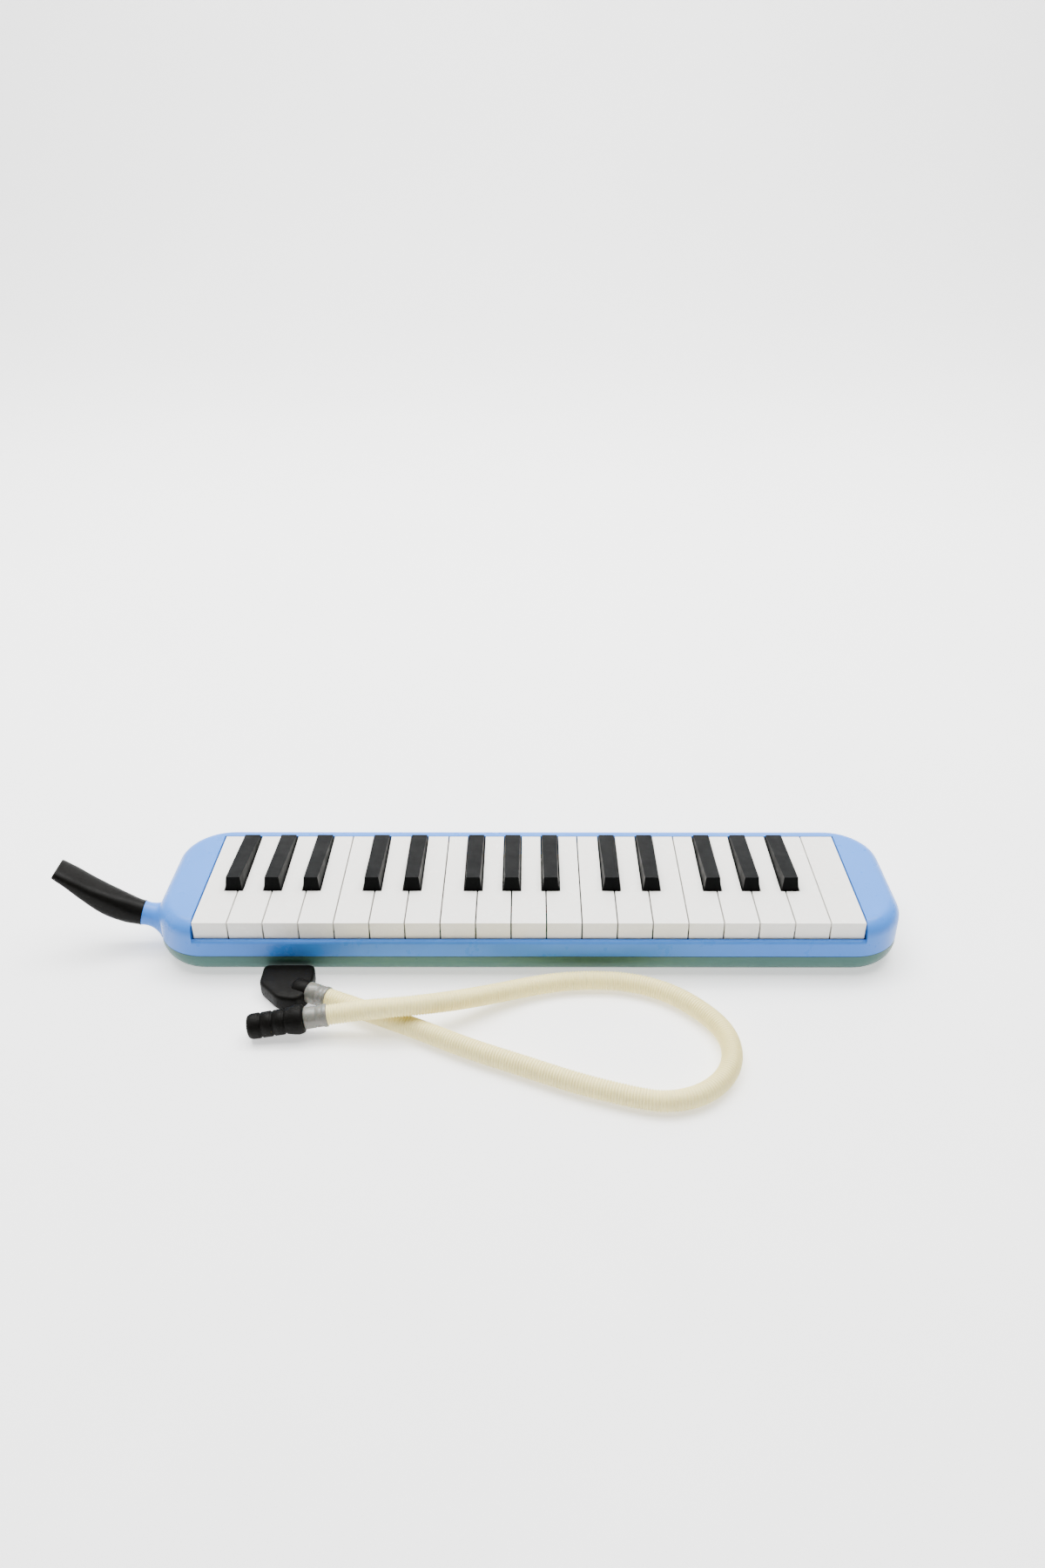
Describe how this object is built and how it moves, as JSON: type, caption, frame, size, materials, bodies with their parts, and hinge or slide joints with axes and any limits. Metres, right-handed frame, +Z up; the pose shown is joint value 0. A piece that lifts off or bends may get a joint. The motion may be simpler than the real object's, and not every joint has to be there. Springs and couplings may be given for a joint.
{
  "type": "melodica",
  "caption": "Breath-blown keyboard instrument: flat case with piano keys over a reed chamber, a neck with a curved mouthpiece, and a loose ribbed blowing hose.",
  "frame": {"origin": "on the case's flat underside, midway along its length, 49.5 mm behind its front face", "axes": "+X along the keyboard from bass to treble, +Y to the back of the keys, +Z up"},
  "size_m": [0.4887, 0.2138, 0.0542],
  "materials": {
    "case_blue": "glossy light blue moulding",
    "key_white": "glossy off-white moulding",
    "key_black": "glossy black moulding",
    "black_plastic": "smooth black, slightly worn",
    "hose_cream": "translucent ribbed cream plastic",
    "cuff_white": "smooth off-white sleeve",
    "inner_plastic": "plain grey moulding",
    "brass": "brushed sheet",
    "reed_metal": "thin spring sheet",
    "steel": "plain",
    "rubber": "soft matte",
    "felt": "pressed felt"
  },
  "bodies": {
    "case": {"upper_case": "case_blue", "lower_case": "case_blue", "case_screws": "steel", "neck_socket": "case_blue", "air_duct": "inner_plastic", "reed_block": "inner_plastic", "chamber_cover": "inner_plastic", "chamber_gasket": "rubber", "chamber_screws": "steel", "reed_plate_low": "brass", "reed_plate_high": "brass", "reeds_low": "reed_metal", "reeds_high": "reed_metal", "reed_rivets": "brass", "reed_plate_screws": "steel", "key_comb": "inner_plastic", "key_axle": "steel", "axle_clips": "steel", "spring_comb": "steel", "down_stop_felts": "felt", "spit_valve_spring": "steel", "hose": "hose_cream", "hose_cuffs": "cuff_white", "hose_connector": "black_plastic", "hose_mouthpiece": "black_plastic"},
    "mouthpiece": {"mouthpiece": "black_plastic"},
    "spit_valve": {"spit_valve_button": "case_blue", "spit_valve_seal": "rubber"},
    "white_key_F3": {"white_key_F3": "key_white"},
    "black_key_Fs3": {"black_key_Fs3": "key_black"},
    "white_key_G3": {"white_key_G3": "key_white"},
    "black_key_Gs3": {"black_key_Gs3": "key_black"},
    "white_key_A3": {"white_key_A3": "key_white"},
    "black_key_As3": {"black_key_As3": "key_black"},
    "white_key_B3": {"white_key_B3": "key_white"},
    "white_key_C4": {"white_key_C4": "key_white"},
    "black_key_Cs4": {"black_key_Cs4": "key_black"},
    "white_key_D4": {"white_key_D4": "key_white"},
    "black_key_Ds4": {"black_key_Ds4": "key_black"},
    "white_key_E4": {"white_key_E4": "key_white"},
    "white_key_F4": {"white_key_F4": "key_white"},
    "black_key_Fs4": {"black_key_Fs4": "key_black"},
    "white_key_G4": {"white_key_G4": "key_white"},
    "black_key_Gs4": {"black_key_Gs4": "key_black"},
    "white_key_A4": {"white_key_A4": "key_white"},
    "black_key_As4": {"black_key_As4": "key_black"},
    "white_key_B4": {"white_key_B4": "key_white"},
    "white_key_C5": {"white_key_C5": "key_white"},
    "black_key_Cs5": {"black_key_Cs5": "key_black"},
    "white_key_D5": {"white_key_D5": "key_white"},
    "black_key_Ds5": {"black_key_Ds5": "key_black"},
    "white_key_E5": {"white_key_E5": "key_white"},
    "white_key_F5": {"white_key_F5": "key_white"},
    "black_key_Fs5": {"black_key_Fs5": "key_black"},
    "white_key_G5": {"white_key_G5": "key_white"},
    "black_key_Gs5": {"black_key_Gs5": "key_black"},
    "white_key_A5": {"white_key_A5": "key_white"},
    "black_key_As5": {"black_key_As5": "key_black"},
    "white_key_B5": {"white_key_B5": "key_white"},
    "white_key_C6": {"white_key_C6": "key_white"}
  },
  "joints": [
    {"name": "white_key_F3_hinge", "type": "hinge", "parent": "case", "child": "white_key_F3", "pos_m": [-0.18397, 0.021, 0.026], "axis": [1, 0, 0], "range_deg": [0, 3.2], "stiffness_Nm_per_rad": 0.54, "springref_deg": -4.47, "deforming": ["spring_comb"]},
    {"name": "black_key_Fs3_hinge", "type": "hinge", "parent": "case", "child": "black_key_Fs3", "pos_m": [-0.1726, 0.021, 0.026], "axis": [1, 0, 0], "range_deg": [0, 4.5], "stiffness_Nm_per_rad": 0.54, "springref_deg": -4.47, "deforming": ["spring_comb"]},
    {"name": "white_key_G3_hinge", "type": "hinge", "parent": "case", "child": "white_key_G3", "pos_m": [-0.1613, 0.021, 0.026], "axis": [1, 0, 0], "range_deg": [0, 3.2], "stiffness_Nm_per_rad": 0.54, "springref_deg": -4.47, "deforming": ["spring_comb"]},
    {"name": "black_key_Gs3_hinge", "type": "hinge", "parent": "case", "child": "black_key_Gs3", "pos_m": [-0.15, 0.021, 0.026], "axis": [1, 0, 0], "range_deg": [0, 4.5], "stiffness_Nm_per_rad": 0.54, "springref_deg": -4.47, "deforming": ["spring_comb"]},
    {"name": "white_key_A3_hinge", "type": "hinge", "parent": "case", "child": "white_key_A3", "pos_m": [-0.1386, 0.021, 0.026], "axis": [1, 0, 0], "range_deg": [0, 3.2], "stiffness_Nm_per_rad": 0.54, "springref_deg": -4.47, "deforming": ["spring_comb"]},
    {"name": "black_key_As3_hinge", "type": "hinge", "parent": "case", "child": "black_key_As3", "pos_m": [-0.1272, 0.021, 0.026], "axis": [1, 0, 0], "range_deg": [0, 4.5], "stiffness_Nm_per_rad": 0.54, "springref_deg": -4.47, "deforming": ["spring_comb"]},
    {"name": "white_key_B3_hinge", "type": "hinge", "parent": "case", "child": "white_key_B3", "pos_m": [-0.11593, 0.021, 0.026], "axis": [1, 0, 0], "range_deg": [0, 3.2], "stiffness_Nm_per_rad": 0.54, "springref_deg": -4.47, "deforming": ["spring_comb"]},
    {"name": "white_key_C4_hinge", "type": "hinge", "parent": "case", "child": "white_key_C4", "pos_m": [-0.10353, 0.021, 0.026], "axis": [1, 0, 0], "range_deg": [0, 3.2], "stiffness_Nm_per_rad": 0.54, "springref_deg": -4.47, "deforming": ["spring_comb"]},
    {"name": "black_key_Cs4_hinge", "type": "hinge", "parent": "case", "child": "black_key_Cs4", "pos_m": [-0.0917, 0.021, 0.026], "axis": [1, 0, 0], "range_deg": [0, 4.5], "stiffness_Nm_per_rad": 0.54, "springref_deg": -4.47, "deforming": ["spring_comb"]},
    {"name": "white_key_D4_hinge", "type": "hinge", "parent": "case", "child": "white_key_D4", "pos_m": [-0.08, 0.021, 0.026], "axis": [1, 0, 0], "range_deg": [0, 3.2], "stiffness_Nm_per_rad": 0.54, "springref_deg": -4.47, "deforming": ["spring_comb"]},
    {"name": "black_key_Ds4_hinge", "type": "hinge", "parent": "case", "child": "black_key_Ds4", "pos_m": [-0.0683, 0.021, 0.026], "axis": [1, 0, 0], "range_deg": [0, 4.5], "stiffness_Nm_per_rad": 0.54, "springref_deg": -4.47, "deforming": ["spring_comb"]},
    {"name": "white_key_E4_hinge", "type": "hinge", "parent": "case", "child": "white_key_E4", "pos_m": [-0.05647, 0.021, 0.026], "axis": [1, 0, 0], "range_deg": [0, 3.2], "stiffness_Nm_per_rad": 0.54, "springref_deg": -4.47, "deforming": ["spring_comb"]},
    {"name": "white_key_F4_hinge", "type": "hinge", "parent": "case", "child": "white_key_F4", "pos_m": [-0.04398, 0.021, 0.026], "axis": [1, 0, 0], "range_deg": [0, 3.2], "stiffness_Nm_per_rad": 0.54, "springref_deg": -4.47, "deforming": ["spring_comb"]},
    {"name": "black_key_Fs4_hinge", "type": "hinge", "parent": "case", "child": "black_key_Fs4", "pos_m": [-0.0326, 0.021, 0.026], "axis": [1, 0, 0], "range_deg": [0, 4.5], "stiffness_Nm_per_rad": 0.54, "springref_deg": -4.47, "deforming": ["spring_comb"]},
    {"name": "white_key_G4_hinge", "type": "hinge", "parent": "case", "child": "white_key_G4", "pos_m": [-0.0213, 0.021, 0.026], "axis": [1, 0, 0], "range_deg": [0, 3.2], "stiffness_Nm_per_rad": 0.54, "springref_deg": -4.47, "deforming": ["spring_comb"]},
    {"name": "black_key_Gs4_hinge", "type": "hinge", "parent": "case", "child": "black_key_Gs4", "pos_m": [-0.01, 0.021, 0.026], "axis": [1, 0, 0], "range_deg": [0, 4.5], "stiffness_Nm_per_rad": 0.54, "springref_deg": -4.47, "deforming": ["spring_comb"]},
    {"name": "white_key_A4_hinge", "type": "hinge", "parent": "case", "child": "white_key_A4", "pos_m": [0.0014, 0.021, 0.026], "axis": [1, 0, 0], "range_deg": [0, 3.2], "stiffness_Nm_per_rad": 0.54, "springref_deg": -4.47, "deforming": ["spring_comb"]},
    {"name": "black_key_As4_hinge", "type": "hinge", "parent": "case", "child": "black_key_As4", "pos_m": [0.0128, 0.021, 0.026], "axis": [1, 0, 0], "range_deg": [0, 4.5], "stiffness_Nm_per_rad": 0.54, "springref_deg": -4.47, "deforming": ["spring_comb"]},
    {"name": "white_key_B4_hinge", "type": "hinge", "parent": "case", "child": "white_key_B4", "pos_m": [0.02407, 0.021, 0.026], "axis": [1, 0, 0], "range_deg": [0, 3.2], "stiffness_Nm_per_rad": 0.54, "springref_deg": -4.47, "deforming": ["spring_comb"]},
    {"name": "white_key_C5_hinge", "type": "hinge", "parent": "case", "child": "white_key_C5", "pos_m": [0.03647, 0.021, 0.026], "axis": [1, 0, 0], "range_deg": [0, 3.2], "stiffness_Nm_per_rad": 0.54, "springref_deg": -4.47, "deforming": ["spring_comb"]},
    {"name": "black_key_Cs5_hinge", "type": "hinge", "parent": "case", "child": "black_key_Cs5", "pos_m": [0.0483, 0.021, 0.026], "axis": [1, 0, 0], "range_deg": [0, 4.5], "stiffness_Nm_per_rad": 0.54, "springref_deg": -4.47, "deforming": ["spring_comb"]},
    {"name": "white_key_D5_hinge", "type": "hinge", "parent": "case", "child": "white_key_D5", "pos_m": [0.06, 0.021, 0.026], "axis": [1, 0, 0], "range_deg": [0, 3.2], "stiffness_Nm_per_rad": 0.54, "springref_deg": -4.47, "deforming": ["spring_comb"]},
    {"name": "black_key_Ds5_hinge", "type": "hinge", "parent": "case", "child": "black_key_Ds5", "pos_m": [0.0717, 0.021, 0.026], "axis": [1, 0, 0], "range_deg": [0, 4.5], "stiffness_Nm_per_rad": 0.54, "springref_deg": -4.47, "deforming": ["spring_comb"]},
    {"name": "white_key_E5_hinge", "type": "hinge", "parent": "case", "child": "white_key_E5", "pos_m": [0.08353, 0.021, 0.026], "axis": [1, 0, 0], "range_deg": [0, 3.2], "stiffness_Nm_per_rad": 0.54, "springref_deg": -4.47, "deforming": ["spring_comb"]},
    {"name": "white_key_F5_hinge", "type": "hinge", "parent": "case", "child": "white_key_F5", "pos_m": [0.09602, 0.021, 0.026], "axis": [1, 0, 0], "range_deg": [0, 3.2], "stiffness_Nm_per_rad": 0.54, "springref_deg": -4.47, "deforming": ["spring_comb"]},
    {"name": "black_key_Fs5_hinge", "type": "hinge", "parent": "case", "child": "black_key_Fs5", "pos_m": [0.1074, 0.021, 0.026], "axis": [1, 0, 0], "range_deg": [0, 4.5], "stiffness_Nm_per_rad": 0.54, "springref_deg": -4.47, "deforming": ["spring_comb"]},
    {"name": "white_key_G5_hinge", "type": "hinge", "parent": "case", "child": "white_key_G5", "pos_m": [0.1187, 0.021, 0.026], "axis": [1, 0, 0], "range_deg": [0, 3.2], "stiffness_Nm_per_rad": 0.54, "springref_deg": -4.47, "deforming": ["spring_comb"]},
    {"name": "black_key_Gs5_hinge", "type": "hinge", "parent": "case", "child": "black_key_Gs5", "pos_m": [0.13, 0.021, 0.026], "axis": [1, 0, 0], "range_deg": [0, 4.5], "stiffness_Nm_per_rad": 0.54, "springref_deg": -4.47, "deforming": ["spring_comb"]},
    {"name": "white_key_A5_hinge", "type": "hinge", "parent": "case", "child": "white_key_A5", "pos_m": [0.1414, 0.021, 0.026], "axis": [1, 0, 0], "range_deg": [0, 3.2], "stiffness_Nm_per_rad": 0.54, "springref_deg": -4.47, "deforming": ["spring_comb"]},
    {"name": "black_key_As5_hinge", "type": "hinge", "parent": "case", "child": "black_key_As5", "pos_m": [0.1528, 0.021, 0.026], "axis": [1, 0, 0], "range_deg": [0, 4.5], "stiffness_Nm_per_rad": 0.54, "springref_deg": -4.47, "deforming": ["spring_comb"]},
    {"name": "white_key_B5_hinge", "type": "hinge", "parent": "case", "child": "white_key_B5", "pos_m": [0.16407, 0.021, 0.026], "axis": [1, 0, 0], "range_deg": [0, 3.2], "stiffness_Nm_per_rad": 0.54, "springref_deg": -4.47, "deforming": ["spring_comb"]},
    {"name": "white_key_C6_hinge", "type": "hinge", "parent": "case", "child": "white_key_C6", "pos_m": [0.18, 0.021, 0.026], "axis": [1, 0, 0], "range_deg": [0, 3.2], "stiffness_Nm_per_rad": 0.54, "springref_deg": -4.47, "deforming": ["spring_comb"]},
    {"name": "mouthpiece_pull", "type": "slide", "parent": "case", "child": "mouthpiece", "axis": [-0.9703, 0, 0.2419], "range_m": [0, 0.012]},
    {"name": "spit_valve_press", "type": "slide", "parent": "case", "child": "spit_valve", "axis": [0, 0, 1], "range_m": [0, 0.0015], "stiffness_N_per_m": 600, "springref_m": -0.001, "deforming": ["spit_valve_spring"]}
  ]
}
